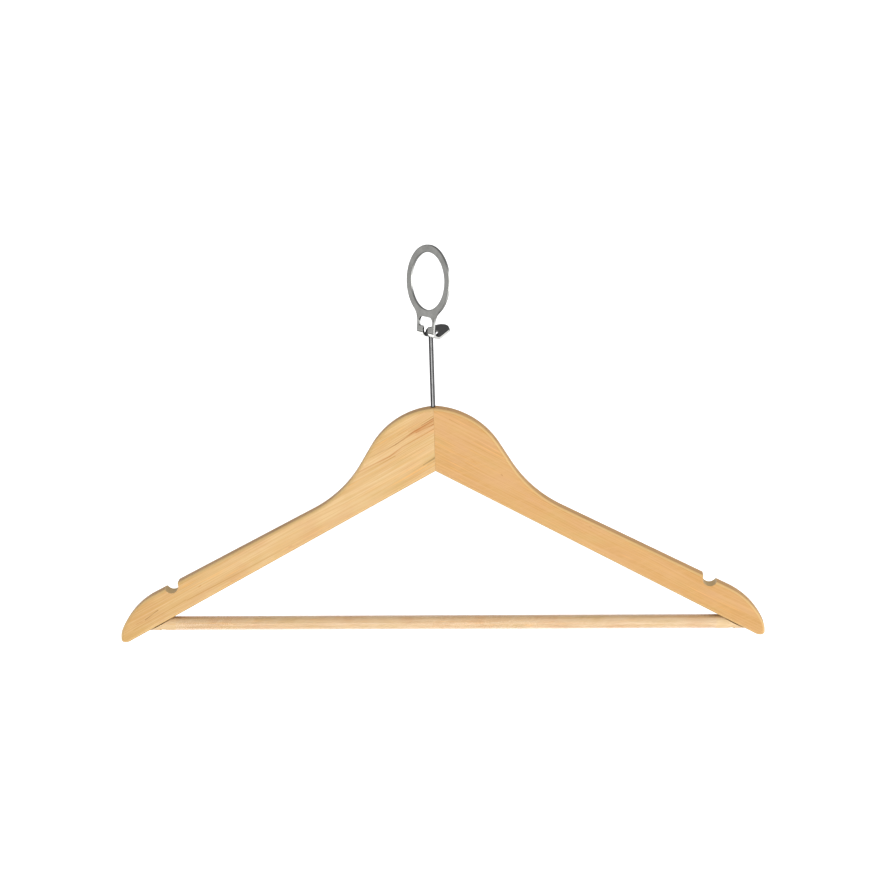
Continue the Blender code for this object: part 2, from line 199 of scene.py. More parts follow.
def turned(name, profile, axis, start, steps=96):
    """A body of revolution from (distance along the axis, radius) points."""
    points = [(radius * MM, 0.0, along * MM) for along, radius in profile]
    mesh = bpy.data.meshes.new(name)
    mesh.from_pydata(points, [(i, i + 1) for i in range(len(points) - 1)], [])
    obj = placed(name, mesh, start, facing(axis))
    screw = obj.modifiers.new("turn", "SCREW")
    screw.steps = steps
    screw.render_steps = steps
    screw.use_merge_vertices = True
    screw.merge_threshold = 1e-6
    return obj


def rod(name, radius, length, axis, centre, steps=96):
    bm = bmesh.new()
    bmesh.ops.create_cone(
        bm, cap_ends=True, segments=steps, radius1=radius * MM, radius2=radius * MM, depth=length * MM
    )
    mesh = bpy.data.meshes.new(name)
    bm.to_mesh(mesh)
    bm.free()
    return placed(name, mesh, centre, facing(axis))


def block(name, size, centre, turn=Matrix.Identity(3)):
    bm = bmesh.new()
    bmesh.ops.create_cube(bm, size=MM)
    bmesh.ops.scale(bm, vec=size, verts=bm.verts)
    mesh = bpy.data.meshes.new(name)
    bm.to_mesh(mesh)
    bm.free()
    return placed(name, mesh, centre, turn)


def as_mesh(obj):
    bpy.context.view_layer.update()
    graph = bpy.context.evaluated_depsgraph_get()
    mesh = bpy.data.meshes.new_from_object(obj.evaluated_get(graph))
    name, place = obj.name, obj.matrix_world.copy()
    bpy.data.objects.remove(obj, do_unlink=True)
    made = bpy.data.objects.new(name, mesh)
    made.matrix_world = place
    bpy.context.scene.collection.objects.link(made)
    return made


def weld(obj):
    bm = bmesh.new()
    bm.from_mesh(obj.data)
    bmesh.ops.remove_doubles(bm, verts=bm.verts, dist=1e-7)
    bmesh.ops.recalc_face_normals(bm, faces=bm.faces)
    bm.to_mesh(obj.data)
    bm.free()
    return obj


def settle(obj, *looks, sharp=40):
    """Make the modifiers real, move the shape into the world's frame and give it its materials."""
    made = weld(as_mesh(obj))
    made.data.transform(made.matrix_world)
    made.matrix_world = Matrix.Identity(4)
    made.data.shade_smooth()
    made.data.set_sharp_from_angle(angle=math.radians(sharp))
    kinds = [min(face.material_index, len(looks) - 1) for face in made.data.polygons]
    made.data.materials.clear()
    for look in looks:
        made.data.materials.append(look)
    made.data.polygons.foreach_set("material_index", kinds)
    flat = made.modifiers.new("flats", "WEIGHTED_NORMAL")
    flat.keep_sharp = True
    flat.weight = 100
    return made


def cut(obj, *tools):
    """Cut with each tool in turn, then throw the tools away."""
    for tool in tools:
        modifier = obj.modifiers.new("cut", "BOOLEAN")
        modifier.operation = "DIFFERENCE"
        modifier.solver = "EXACT"
        modifier.object = tool
    made = as_mesh(obj)
    for tool in tools:
        bpy.data.objects.remove(tool, do_unlink=True)
    return made


def join_flats(obj, degrees=0.3):
    modifier = obj.modifiers.new("flats", "DECIMATE")
    modifier.decimate_type = "DISSOLVE"
    modifier.angle_limit = math.radians(degrees)


def round_edges(obj, width, segments, above=60):
    modifier = obj.modifiers.new("edges", "BEVEL")
    modifier.width = width * MM
    modifier.segments = segments
    modifier.limit_method = "ANGLE"
    modifier.angle_limit = math.radians(above)
    modifier.use_clamp_overlap = False


class Path:
    """A 2-D outline drawn like a pen stroke: position, heading, lines and tangent arcs."""

    def __init__(self, start, heading):
        self.points = [Vector(start)]
        self.heading = math.radians(heading)

    def line(self, length):
        step = Vector((math.cos(self.heading), math.sin(self.heading))) * length
        self.points.append(self.points[-1] + step)

    def line_to_x(self, x):
        self.line((x - self.points[-1].x) / math.cos(self.heading))

    def arc_to(self, heading, radius, step_deg=1.5):
        turn = math.radians(heading) - self.heading
        side = math.copysign(1.0, turn)
        left = Vector((-math.sin(self.heading), math.cos(self.heading)))
        centre = self.points[-1] + left * side * radius
        spoke = self.points[-1] - centre
        count = max(2, math.ceil(abs(math.degrees(turn)) / step_deg))
        for i in range(1, count + 1):
            self.points.append(centre + Matrix.Rotation(turn * i / count, 2) @ spoke)
        self.heading += turn


def circle_points(radius, steps):
    turns = [2 * math.pi * i / steps for i in range(steps)]
    return [(radius * math.cos(t), radius * math.sin(t)) for t in turns]


def corner(centre, radius, start, stop, steps):
    turns = [math.radians(start + (stop - start) * i / steps) for i in range(steps + 1)]
    return [(centre[0] + radius * math.cos(t), centre[1] + radius * math.sin(t)) for t in turns]


def mirrored(points):
    return [(x, y) for x, y in points] + [(-x, y) for x, y in reversed(points) if x > 1e-6]


# ---------------------------------------------------------------- ring and pin


def tongue_foot():
    """Height in the flat blank where the bend ends and the straight tongue begins."""
    return BEND_Z - (BEND_INNER_R + SHEET / 2) * (math.pi / 2 + TONGUE_RISE)


def ring_blank():
    """Outline of the ring and its neck before the tongue is bent, drawn flat."""
    centre_x = NECK_HALF_W + NECK_FILLET_R
    centre_z = -math.sqrt((RING_R + NECK_FILLET_R) ** 2 - centre_x**2)
    leave = math.degrees(math.atan2(centre_z, centre_x))
    half = corner((0.0, 0.0), RING_R, 90, leave, 100)
    half += corner((centre_x, centre_z), NECK_FILLET_R, 180 + leave, 180, 24)[1:]
    side_end = tongue_foot() - TONGUE_SIDE_L
    end_r = (NECK_HALF_W**2 + TONGUE_END_SAG**2) / (2 * TONGUE_END_SAG)
    spread = math.degrees(math.asin(NECK_HALF_W / end_r))
    half += corner((0.0, side_end - TONGUE_END_SAG + end_r), end_r, spread - 90, -90, 24)
    return mirrored(half)


def window_and_slot():
    """The window in the neck, which narrows into the slot for the pin's shank."""
    top_x = WINDOW_HALF_W - WINDOW_TOP_R
    floor_x = WINDOW_HALF_W - WINDOW_FLOOR_R
    slot_end = tongue_foot() - SLOT_END_L
    half = [(0.0, WINDOW_TOP_Z)]
    half += corner((top_x, WINDOW_TOP_Z - WINDOW_TOP_R), WINDOW_TOP_R, 90, 0, 14)
    half += corner((floor_x, WINDOW_FLOOR_Z + WINDOW_FLOOR_R), WINDOW_FLOOR_R, 0, -90, 10)
    mouth = (SLOT_HALF_W + SLOT_MOUTH_R, WINDOW_FLOOR_Z - SLOT_MOUTH_R)
    half += corner(mouth, SLOT_MOUTH_R, 90, 180, 6)
    half += corner((0.0, slot_end + SLOT_HALF_W), SLOT_HALF_W, 0, -90, 16)
    return mirrored(half)


def bent(point):
    """Where a point of the flat blank lies once the tongue is bent, with z for the blank's y."""
    past = BEND_Z - point.y
    if past <= 0:
        return Vector((point.x, 0.0, point.y))
    radius = BEND_INNER_R + SHEET / 2
    turn = min(past / radius, math.pi / 2 + TONGUE_RISE)
    on_arc = Vector((point.x, radius * (1 - math.cos(turn)), BEND_Z - radius * math.sin(turn)))
    return on_arc + Vector((0.0, math.sin(turn), -math.cos(turn))) * (past - turn * radius)


def ring_turn():
    return Matrix.Rotation(RING_YAW, 3, "Z") @ Matrix.Rotation(-RING_LEAN, 3, "X")


def ring_plate(face_look, rim_look):
    loops = [ring_blank(), circle_points(HOLE_R, 180), window_and_slot()]
    obj = weld(as_mesh(outline("ring_plate", loops, 0.0, turn=ring_turn())))
    bm = bmesh.new()
    bm.from_mesh(obj.data)
    steps = 32
    for i in range(steps + 1):
        line = (0.0, (BEND_Z + (tongue_foot() - BEND_Z) * i / steps) * MM, 0.0)
        whole = bm.verts[:] + bm.edges[:] + bm.faces[:]
        bmesh.ops.bisect_plane(bm, geom=whole, plane_co=line, plane_no=(0, 1, 0), dist=1e-7)
    for vert in bm.verts:
        vert.co = bent(vert.co / MM) * MM
    bm.to_mesh(obj.data)
    bm.free()
    obj.data.materials.append(face_look)
    obj.data.materials.append(rim_look)
    join_flats(obj, 1.0)
    sheet = obj.modifiers.new("sheet", "SOLIDIFY")
    sheet.thickness = SHEET * MM
    sheet.offset = 0.0
    sheet.use_even_offset = True
    sheet.material_offset_rim = 1
    round_edges(obj, 0.2, 3, 50)
    return settle(obj, face_look, rim_look)


def pin_piece(look):
    length = PIN_SUNK_L + PIN_FREE_L
    groove = PIN_SUNK_L - GROOVE_DEPTH_IN
    neck = math.degrees(math.asin((SHANK_R + BALL_NECK) / BALL_R))
    profile = corner((length, 0.0), BALL_R, 0, 180 - neck, 40)
    under_ball = profile[-1][0]
    profile += [(under_ball - 0.12, SHANK_R + 0.1), (under_ball - 0.35, SHANK_R)]
    top, bottom = groove + GROOVE_W / 2, groove - GROOVE_W / 2
    profile += [(top, SHANK_R), (top - GROOVE_FLANK, GROOVE_R)]
    profile += [(bottom + GROOVE_FLANK, GROOVE_R), (bottom, SHANK_R)]
    profile += [(FOOT_CHAMFER, SHANK_R), (0.0, SHANK_R - FOOT_CHAMFER), (0.0, 0.0)]
    foot = mitre_foot + Vector((PIN_X, 0, MITRE_TOP_Z - PIN_SUNK_L))
    return settle(turned("pin_piece", profile, (0, 0, 1), foot), look)


# ---------------------------------------------------------------- wooden frame


def frame_point(x, y, z):
    return mitre_foot + Vector((x, y, z))


def notch_outline():
    """The strap notch, carried up clear of the shoulder."""
    above = NOTCH_Z + 12
    curve = corner((NOTCH_X, NOTCH_Z), NOTCH_R, NOTCH_LIP, 360, 48)
    return [(curve[0][0], above), *curve, (curve[-1][0], above)]


def arm_outline():
    """The right arm from above the mitre round its tip and back, drawn a little past the mitre."""
    spare = 6.0
    start_z = MITRE_TOP_Z + spare * math.tan(math.radians(CROWN_SLOPE))
    path = Path((MITRE_GAP - spare, start_z), -CROWN_SLOPE)
    path.line_to_x(MITRE_GAP)
    path.arc_to(-NECK_SLOPE, CROWN_R)
    path.line(NECK_LINE_L)
    path.arc_to(-SHOULDER_SLOPE, SADDLE_R)
    path.line(SHOULDER_L)
    path.arc_to(-TIP_TOP_SLOPE, TIP_TOP_R)
    path.arc_to(-90, TIP_SIDE_R, 3.0)
    path.line(TIP_SIDE_L)
    path.arc_to(-170, TIP_CORNER_R, 6.0)
    path.arc_to(-180 - UNDER_SLOPE, TIP_NOSE_R, 4.0)
    path.line_to_x(MITRE_GAP - spare)
    return path.points


def board(name, points, side, half_depth):
    upright = Matrix.Rotation(math.radians(90), 3, "X")
    drawn = [(x * side, z) for x, z in points]
    return weld(as_mesh(outline(name, [drawn], half_depth, mitre_foot, upright)))


def arm_piece(side, name, look):
    obj = board(name, arm_outline(), side, WOOD_T / 2)
    join_flats(obj)
    round_edges(obj, EDGE_ROUND, 8)
    notch = board("notch", notch_outline(), side, WOOD_T)
    centre = frame_point(side * (MITRE_GAP - 10), 0, MITRE_TOP_Z / 2)
    far_side = block("far_side", (20, 3 * WOOD_T, 2 * MITRE_TOP_Z), centre)
    # The bore starts just under the pin's foot and runs out through the crown.
    middle = frame_point(PIN_X, 0, MITRE_TOP_Z - PIN_SUNK_L / 2 + PIN_BORE_LIFT)
    tools = [far_side, notch, rod("bore", SHANK_R + BORE_GAP, PIN_BORE_L, (0, 0, 1), middle)]
    for z in (DOWEL_Z_UPPER, DOWEL_Z_LOWER):
        tools.append(rod("bore", DOWEL_BORE_R, DOWEL_BORE_L, (1, 0, 0), frame_point(0, 0, z)))
    if side < 0:
        brad_place = frame_point(PIN_X + BRAD_FROM_PIN, WOOD_T / 2, MITRE_TOP_Z - GROOVE_DEPTH_IN)
        tools.append(rod("bore", BRAD_HEAD_R + BORE_GAP, BRAD_BORE_L, (0, 1, 0), brad_place, 48))
    obj = weld(cut(obj, *tools))
    join_flats(obj)
    round_edges(obj, 0.06, 2, 50)
    return settle(obj, look, sharp=60)


def under_normal(side):
    slope = math.radians(UNDER_SLOPE)
    return Vector((-side * math.sin(slope), 0.0, -math.cos(slope)))


def bar_centre(x):
    return frame_point(x, 0.0, BAR_Z + x * math.tan(BAR_TILT))


def bar_axis():
    return Vector((math.cos(BAR_TILT), 0.0, math.sin(BAR_TILT)))


def bar_meets_arm(side):
    """The point on the bar's axis where it crosses the line of an arm's underside."""
    slope = math.tan(math.radians(UNDER_SLOPE))
    foot = arm_outline()[-1]
    rise = foot.y + foot.x * slope - BAR_Z
    return bar_centre(side * rise / (slope + side * math.tan(BAR_TILT)))


def screw_seat(side, into_arm):
    """The hollow for a countersunk screw: a wide mouth, a cone for the head and a bore for the shank."""
    reach = 30.0
    rim = SEAT_BELOW + SEAT_DEPTH
    profile = [(reach, 0.0), (reach, SCREW_BORE_R), (rim + SEAT_FLANK_L, SCREW_BORE_R)]
    profile += [(rim, SCREW_SEAT_R), (0.0, SCREW_SEAT_R), (0.0, 0.0)]
    depth = BAR_R / math.cos(math.radians(UNDER_SLOPE)) - SEAT_LIFT
    start = bar_meets_arm(side) - into_arm * (depth + SEAT_BELOW)
    return turned("seat", profile, into_arm, start, 64)


def bar_piece(look):
    """A rod drawn too long, cut along the undersides of both arms and sunk for the two screws."""
    obj = rod("bar_piece", BAR_R, 2 * NOTCH_X + 80, bar_axis(), bar_centre(0.0), 128)
    tools = []
    for side in (-1, 1):
        into_arm = -under_normal(side)
        reach = 60.0
        middle = bar_meets_arm(side) + into_arm * (reach / 2 - BAR_END_GAP)
        tools.append(block("wedge", (reach, reach, reach), middle, facing(into_arm)))
        tools.append(screw_seat(side, into_arm))
    obj = weld(cut(obj, *tools))
    join_flats(obj)
    round_edges(obj, 0.15, 2, 50)
    return settle(obj, look)


def sleeve_piece(look):
    """Clear tube, a little uneven where it shrank on to the bar, with soft rims."""
    length = (SLEEVE_TO - SLEEVE_FROM) / math.cos(BAR_TILT)
    count = 240
    outer = []
    for i in range(count + 1):
        along = length * i / count
        near_end = min(along, length - along)
        swell = 0.012 * math.sin(along * 0.19) + 0.008 * math.sin(along * 0.47 + 1.0)
        outer.append((along, SLEEVE_R - 0.02 + swell - 0.05 * math.exp(-near_end / 1.2)))
    profile = [(length, SLEEVE_IN_R), *reversed(outer), (0.0, SLEEVE_IN_R), (length, SLEEVE_IN_R)]
    obj = turned("sleeve_piece", profile, bar_axis(), bar_centre(SLEEVE_FROM), 96)
    return settle(obj, look)


# ---------------------------------------------------------------- materials


class Look:
    """A material under construction, with short ways to add and join its nodes."""

    def __init__(self, name):
        self.material = bpy.data.materials.new(name)
        self.material.use_nodes = True
        self.tree = self.material.node_tree
        self.shader = self.tree.nodes["Principled BSDF"]

    def fix(self, **values):
        """Set shader sockets that are the same all over the piece."""
        for socket, value in values.items():
            self.shader.inputs[socket.replace("_", " ")].default_value = value

    def node(self, kind, **settings):
        made = self.tree.nodes.new("ShaderNode" + kind)
        for key, value in settings.items():
            setattr(made, key, value)
        return made

    def put(self, socket, value):
        if isinstance(value, bpy.types.NodeSocket):
            self.tree.links.new(value, socket)
        elif value is not None:
            socket.default_value = value

    def set(self, socket, value):
        self.put(self.shader.inputs[socket], value)

    def math(self, operation, *values, clamp=False):
        made = self.node("Math", operation=operation, use_clamp=clamp)
        for socket, value in zip(made.inputs, values):
            self.put(socket, value)
        return made.outputs[0]

    def vector(self, operation, *values, scale=None):
        made = self.node("VectorMath", operation=operation)
        for socket, value in zip(made.inputs, values):
            self.put(socket, value)
        if scale is not None:
            made.inputs[3].default_value = scale
        return made.outputs["Value" if operation == "LENGTH" else "Vector"]

    def ramp(self, value, low, high, to_low=0.0, to_high=1.0, smooth=True):
        """Map low..high on to to_low..to_high, clamped at both ends."""
        made = self.node("MapRange", interpolation_type="SMOOTHSTEP" if smooth else "LINEAR")
        for socket, given in zip(made.inputs, (value, low, high, to_low, to_high)):
            self.put(socket, given)
        return made.outputs[0]

    def noise(self, coords, scale=1.0, detail=2.0, roughness=0.5, seed=0.0):
        made = self.node("TexNoise", noise_dimensions="4D")
        self.put(made.inputs["Vector"], coords)
        self.put(made.inputs["W"], seed)
        self.put(made.inputs["Scale"], scale)
        self.put(made.inputs["Detail"], detail)
        self.put(made.inputs["Roughness"], roughness)
        return made.outputs["Fac"]

    def mix(self, amount, first, second, blend="MIX"):
        made = self.node("Mix", data_type="RGBA", blend_type=blend)
        self.put(made.inputs["Factor"], amount)
        for socket, value in zip((made.inputs[6], made.inputs[7]), (first, second)):
            self.put(socket, (*value, 1.0) if isinstance(value, tuple) else value)
        return made.outputs[2]

    def split(self, vector):
        made = self.node("SeparateXYZ")
        self.put(made.inputs[0], vector)
        return made.outputs

    def join(self, x, y, z):
        made = self.node("CombineXYZ")
        for socket, value in zip(made.inputs, (x, y, z)):
            self.put(socket, value)
        return made.outputs[0]

    def stretched(self, coords, x, y, z):
        """Coordinates scaled for a noise, in features per millimetre each way."""
        return self.vector("MULTIPLY", coords, (x, y, z))

    def place_mm(self, origin=(0, 0, 0), turn_by=Matrix.Identity(3)):
        """Position on the piece in millimetres from an origin, turned to lie along grain or plate."""
        coords = self.node("TexCoord").outputs["Object"]
        moved = self.vector("SUBTRACT", coords, tuple(Vector(origin) * MM))
        turn = self.node("Mapping", vector_type="POINT")
        self.put(turn.inputs["Vector"], self.vector("SCALE", moved, scale=1 / MM))
        turn.inputs["Rotation"].default_value = turn_by.to_euler("XYZ")
        return turn.outputs[0]

    def normal(self):
        """The piece's own surface direction, as (x, y, z)."""
        return self.split(self.node("TexCoord").outputs["Normal"])

    def bump(self, height, strength, distance):
        made = self.node("Bump")
        self.put(made.inputs["Height"], height)
        made.inputs["Strength"].default_value = strength
        made.inputs["Distance"].default_value = distance * MM
        self.set("Normal", made.outputs[0])


def srgb(r, g, b):
    """A colour given as it looks on a screen, out of 255. Every channel here is above 10."""
    return tuple(((c / 255 + 0.055) / 1.055) ** 2.4 for c in (r, g, b))


def lit(r, g, b):
    """A wood colour given as the studio light shows it, out of 255."""
    return tuple(max(0.01, (c - GLOSS) / STUDIO) for c in srgb(r, g, b))


def streak(look, along, across, start, end, widths, strengths):
    """Mask of one tapered streak between two points of the board, each (along, across)."""
    t = look.ramp(along, start[0], end[0], smooth=False)
    begun, unfinished = look.math("GREATER_THAN", t, 0.0), look.math("LESS_THAN", t, 1.0)
    inside = look.math("MULTIPLY", begun, unfinished)
    centre = look.ramp(t, 0.0, 1.0, start[1], end[1], smooth=False)
    width = look.ramp(t, 0.0, 1.0, widths[0], widths[1], smooth=False)
    power = look.ramp(t, 0.0, 1.0, strengths[0], strengths[1], smooth=False)
    gap = look.math("DIVIDE", look.math("ABSOLUTE", look.math("SUBTRACT", across, centre)), width)
    body = look.ramp(gap, 0.0, 1.0, 1.0, 0.0)
    return look.math("MULTIPLY", look.math("MULTIPLY", body, inside), power)


def veins(look, lines, blotch):
    """Thin lines along the grain, one wherever the slow noise crosses a ninth of its range."""
    phase = look.math("FRACT", look.math("MULTIPLY", lines, 9.0))
    ridge = look.math("ABSOLUTE", look.math("SUBTRACT", phase, 0.5))
    strength = look.ramp(blotch, 0.35, 0.7, 0.08, 0.5)
    return look.math("MULTIPLY", look.ramp(ridge, 0.0, 0.12, 1.0, 0.0), strength)


def board_sides(look, place, tone, colour, rim, side, seed):
    """Painted highlight on the rounded arrises, darker narrow sides with open grain, painted shade on
    the rounding that turns downwards, and a bare floor in the strap notch.
    """
    _, towards, upward = look.normal()
    out = look.math("ABSOLUTE", towards)
    # Painted highlight: the rounded arrises are lightened, standing in for gloss from the light above
    # the front.
    arris = look.math("MULTIPLY", look.ramp(out, 0.25, 0.5), look.ramp(out, 0.85, 0.98, 1.0, 0.0))
    colour = look.mix(look.math("MULTIPLY", arris, 0.6), colour, lit(250, 216, 158))
    # Painted shade: the rounding that faces downwards takes the narrow sides' darker colour.
    leaning, sinking = look.ramp(out, 0.4, 0.92, 1.0, 0.0), look.ramp(upward, -0.3, -0.1, 1.0, 0.0)
    below = look.math("MULTIPLY", leaning, sinking)
    edge = look.math("MAXIMUM", look.ramp(out, 0.1, 0.4, 1.0, 0.0), below)
    x, _, z = look.split(look.place_mm(frame_point(side * NOTCH_X, 0.0, NOTCH_Z)))
    from_notch = look.vector("LENGTH", look.join(x, 0.0, z))
    hollow = look.ramp(from_notch, NOTCH_R + 0.2, NOTCH_R + 0.6, 1.0, 0.0)
    open_grain = look.stretched(place, 0.05, 0.9, 0.9)
    pores = look.noise(open_grain, detail=3.0, roughness=0.7, seed=seed + 8)
    darker = look.ramp(pores, 0.3, 0.7, 0.0, 0.6)
    ends = look.math("ADD", look.math("MULTIPLY", tone, 0.5), darker, clamp=True)
    cover = look.mix(ends, rim, tuple(0.66 * c for c in rim))
    bare = look.mix(pores, srgb(182, 156, 108), srgb(158, 130, 84))
    return look.mix(edge, colour, look.mix(hollow, cover, bare)), edge


def wood(name, origin, tilt, tones, seed, figure, chatter=0.0, streaks=(), rim=None, side=0):
    """Lacquered pale hardwood. The grain runs along the board, through its thickness.

    figure is the strength of the wide bands and chatter that of the rays across them. A board has
    the colour of its narrow sides in rim and says on which side of the hanger it is; a rod has none."""
    light, dark = tones
    look = Look(name)
    look.fix(Coat_Weight=0.05, Coat_Roughness=0.3, Specular_IOR_Level=0.2)
    place = look.place_mm(origin, Matrix.Rotation(tilt, 3, "Y"))
    wander = look.noise(look.stretched(place, 0.012, 0.03, 0.03), detail=1.0, seed=seed)
    warp = look.math("MULTIPLY", look.math("SUBTRACT", wander, 0.5), 4.0)
    bent_grain = look.vector("ADD", place, look.join(0.0, 0.0, warp))
    bands = look.noise(look.stretched(bent_grain, 0.0035, 0.07, 0.12), seed=seed + 1)
    fine = look.noise(look.stretched(bent_grain, 0.02, 0.7, 1.5), detail=3.0, seed=seed + 2)
    lines = look.noise(look.stretched(bent_grain, 0.004, 0.16, 0.3), detail=1.0, seed=seed + 3)
    blotch = look.noise(look.stretched(bent_grain, 0.03, 0.05, 0.06), seed=seed + 4)
    fleck_field = look.noise(look.stretched(bent_grain, 0.28, 2.4, 2.8), detail=1.0, seed=seed + 5)
    grain = look.math("MULTIPLY", look.ramp(fine, 0.34, 0.66), 0.6)
    tone = look.math("ADD", look.math("MULTIPLY", look.ramp(bands, 0.3, 0.7), figure), grain)
    off_middle = look.math("SUBTRACT", blotch, 0.5)
    tone = look.math("ADD", tone, look.math("MULTIPLY", off_middle, 0.9), clamp=True)
    colour = look.mix(tone, light, dark)
    hue = look.noise(look.stretched(place, 0.045, 0.06, 0.1), detail=3.0, seed=seed + 6)
    colour = look.mix(look.ramp(hue, 0.45, 0.75, 0.0, 0.5), colour, lit(234, 184, 138))
    colour = look.mix(look.ramp(hue, 0.25, 0.5, 0.45, 0.0), colour, lit(226, 192, 128))
    colour = look.mix(veins(look, lines, blotch), colour, srgb(206, 152, 86))
    flecks = look.math("MULTIPLY", look.ramp(fleck_field, 0.69, 0.79), 0.5)
    colour = look.mix(flecks, colour, srgb(176, 118, 62))
    if chatter:
        ray = look.node("Mapping", vector_type="POINT")
        look.put(ray.inputs["Vector"], place)
        ray.inputs["Rotation"].default_value = (0.0, math.radians(38), 0.0)
        waves = look.noise(look.stretched(ray.outputs[0], 0.09, 0.2, 0.55), seed=seed + 7)
        crests = look.ramp(waves, 0.45, 0.75)
        colour = look.mix(look.math("MULTIPLY", crests, chatter), colour, light)
    along, _, across = look.split(place)
    across = look.math("ADD", across, look.math("MULTIPLY", off_middle, 1.2))
    for tint, start, end, widths, strengths in streaks:
        mask = streak(look, along, across, start, end, widths, strengths)
        broken = look.math("MULTIPLY", mask, look.ramp(fine, 0.3, 0.62, 0.45, 1.0))
        colour = look.mix(broken, colour, tint)
    roughness = look.ramp(fine, 0.2, 0.8, 0.34, 0.5)
    if rim:
        colour, edge = board_sides(look, place, tone, colour, rim, side, seed)
        roughness = look.math("ADD", roughness, look.math("MULTIPLY", edge, 0.2))
    look.set("Base Color", colour)
    look.set("Roughness", roughness)
    look.bump(look.math("ADD", fine, look.math("MULTIPLY", flecks, -1.2)), 0.35, 0.06)
    return look.material


def steel(name, colour, dull, roughness, lay, spots, seed, turn_by=None, extra=None, relief=0.25):
    """Plated steel. Its fine lines lie as the three stretches in lay say, per millimetre.

    The dark Specular Tint keeps the metal from going white at a glancing angle."""
    look = Look(name)
    look.fix(Metallic=1.0, Specular_Tint=(0.4, 0.4, 0.4, 1.0))
    place = look.place_mm(turn_by=turn_by or Matrix.Identity(3))
    lines = look.noise(look.stretched(place, *lay), detail=4.0, roughness=0.65, seed=seed)
    cloud = look.noise(look.stretched(place, 0.16, 0.16, 0.16), detail=3.0, seed=seed + 1)
    tone = look.math("ADD", look.math("MULTIPLY", lines, 0.55), look.math("MULTIPLY", cloud, 0.6))
    tint = look.mix(look.ramp(tone, 0.35, 0.8), colour, dull)
    pits = look.noise(look.stretched(place, 1.9, 1.9, 1.9), detail=2.0, seed=seed + 2)
    tint = look.mix(look.math("MULTIPLY", look.ramp(pits, 0.66, 0.78), spots), tint, srgb(60, 58, 56))
    if extra:
        tint = extra(look, place, tint)
    look.set("Base Color", tint)
    look.set("Roughness", look.ramp(tone, 0.3, 0.85, roughness * 0.75, roughness * 1.3))
    look.bump(lines, relief, 0.02)
    return look.material


def ring_marks_and_painted_light(look, place, tint):
    """Darker bands along the face's edges, a painted dark reflection where the tabs start to bend, and a
    painted highlight on the outside of the bend under it.

    The upper face of the tongue is darkened as painted shade."""
    x, _, z = look.split(place)
    from_axis = look.vector("LENGTH", look.join(x, 0.0, z))
    middle = (HOLE_R + RING_R) / 2
    off_middle = look.math("ABSOLUTE", look.math("SUBTRACT", from_axis, middle))
    round_edge = look.math("MULTIPLY", look.ramp(off_middle, 1.7, 2.3), look.ramp(z, -20.5, -18.5))
    beside_neck = look.ramp(look.math("ABSOLUTE", x), 8.7, 9.3)
    neck_edge = look.math("MULTIPLY", beside_neck, look.ramp(z, -26.0, -22.5, 1.0, 0.0))
    edge = look.math("MAXIMUM", round_edge, neck_edge)
    tint = look.mix(look.math("MULTIPLY", edge, 0.6), tint, srgb(80, 80, 78))
    outside = look.ramp(look.normal()[2], -0.1, 0.25, 1.0, 0.0)
    # Painted highlight: the outside of the bend is lightened, standing for the reflection of the bright
    # floor.
    painted_bend_highlight = look.math("MULTIPLY", look.ramp(z, -35.2, -34.8, 1.0, 0.0), outside)
    tint = look.mix(painted_bend_highlight, tint, srgb(226, 226, 222))
    # Painted dark reflection: a dark line across the outside where the tabs start to bend.
    line = look.ramp(look.math("ABSOLUTE", look.math("ADD", z, 34.6)), 0.1, 0.5, 1.0, 0.0)
    line = look.math("MULTIPLY", line, look.math("MULTIPLY", outside, 0.85))
    tint = look.mix(line, tint, srgb(46, 46, 45))
    # Painted shade: faces turned upwards, such as the tongue's upper face, are darkened.
    upper = look.ramp(look.normal()[2], 0.4, 0.8)
    return look.mix(look.math("MULTIPLY", upper, 0.8), tint, srgb(72, 72, 73))


def rim_marks_and_painted_shade(look, place, tint):
    """The sheared edge is burnished at its sides and darker at the neck; where it turns up or down it is
    darkened as painted shade.
    """
    # Painted shade: rim faces turned up or down are darkened.
    turned_away = look.ramp(look.math("ABSOLUTE", look.normal()[2]), 0.15, 0.6)
    tint = look.mix(look.math("MULTIPLY", turned_away, 0.85), tint, srgb(104, 104, 102))
    neck = look.ramp(look.split(place)[2], -26.0, -21.0, 0.6, 0.0)
    return look.mix(neck, tint, srgb(112, 112, 110))


def vinyl(name):
    """Clear tube: only its gloss shows, faint face on and strong at a glancing angle."""
    look = Look(name)
    look.fix(Metallic=1.0)
    place = look.place_mm(bar_centre(0.0))
    haze = look.noise(look.stretched(place, 0.05, 0.5, 0.5), detail=3.0)
    drag = look.noise(look.stretched(place, 0.5, 0.16, 0.16), detail=2.0, seed=2.0)
    glance = look.node("LayerWeight")
    glance.inputs["Blend"].default_value = 0.5
    gloss = look.math("POWER", glance.outputs["Facing"], 3.0)
    look.set("Base Color", look.mix(haze, srgb(255, 244, 236), srgb(250, 232, 220)))
    film = look.math("ADD", gloss, look.ramp(haze, 0.3, 0.7, 0.01, 0.03), clamp=True)
    look.set("Alpha", film)
    look.set("Roughness", look.ramp(drag, 0.3, 0.7, 0.36, 0.5))
    look.bump(drag, 0.08, 0.04)
    return look.material


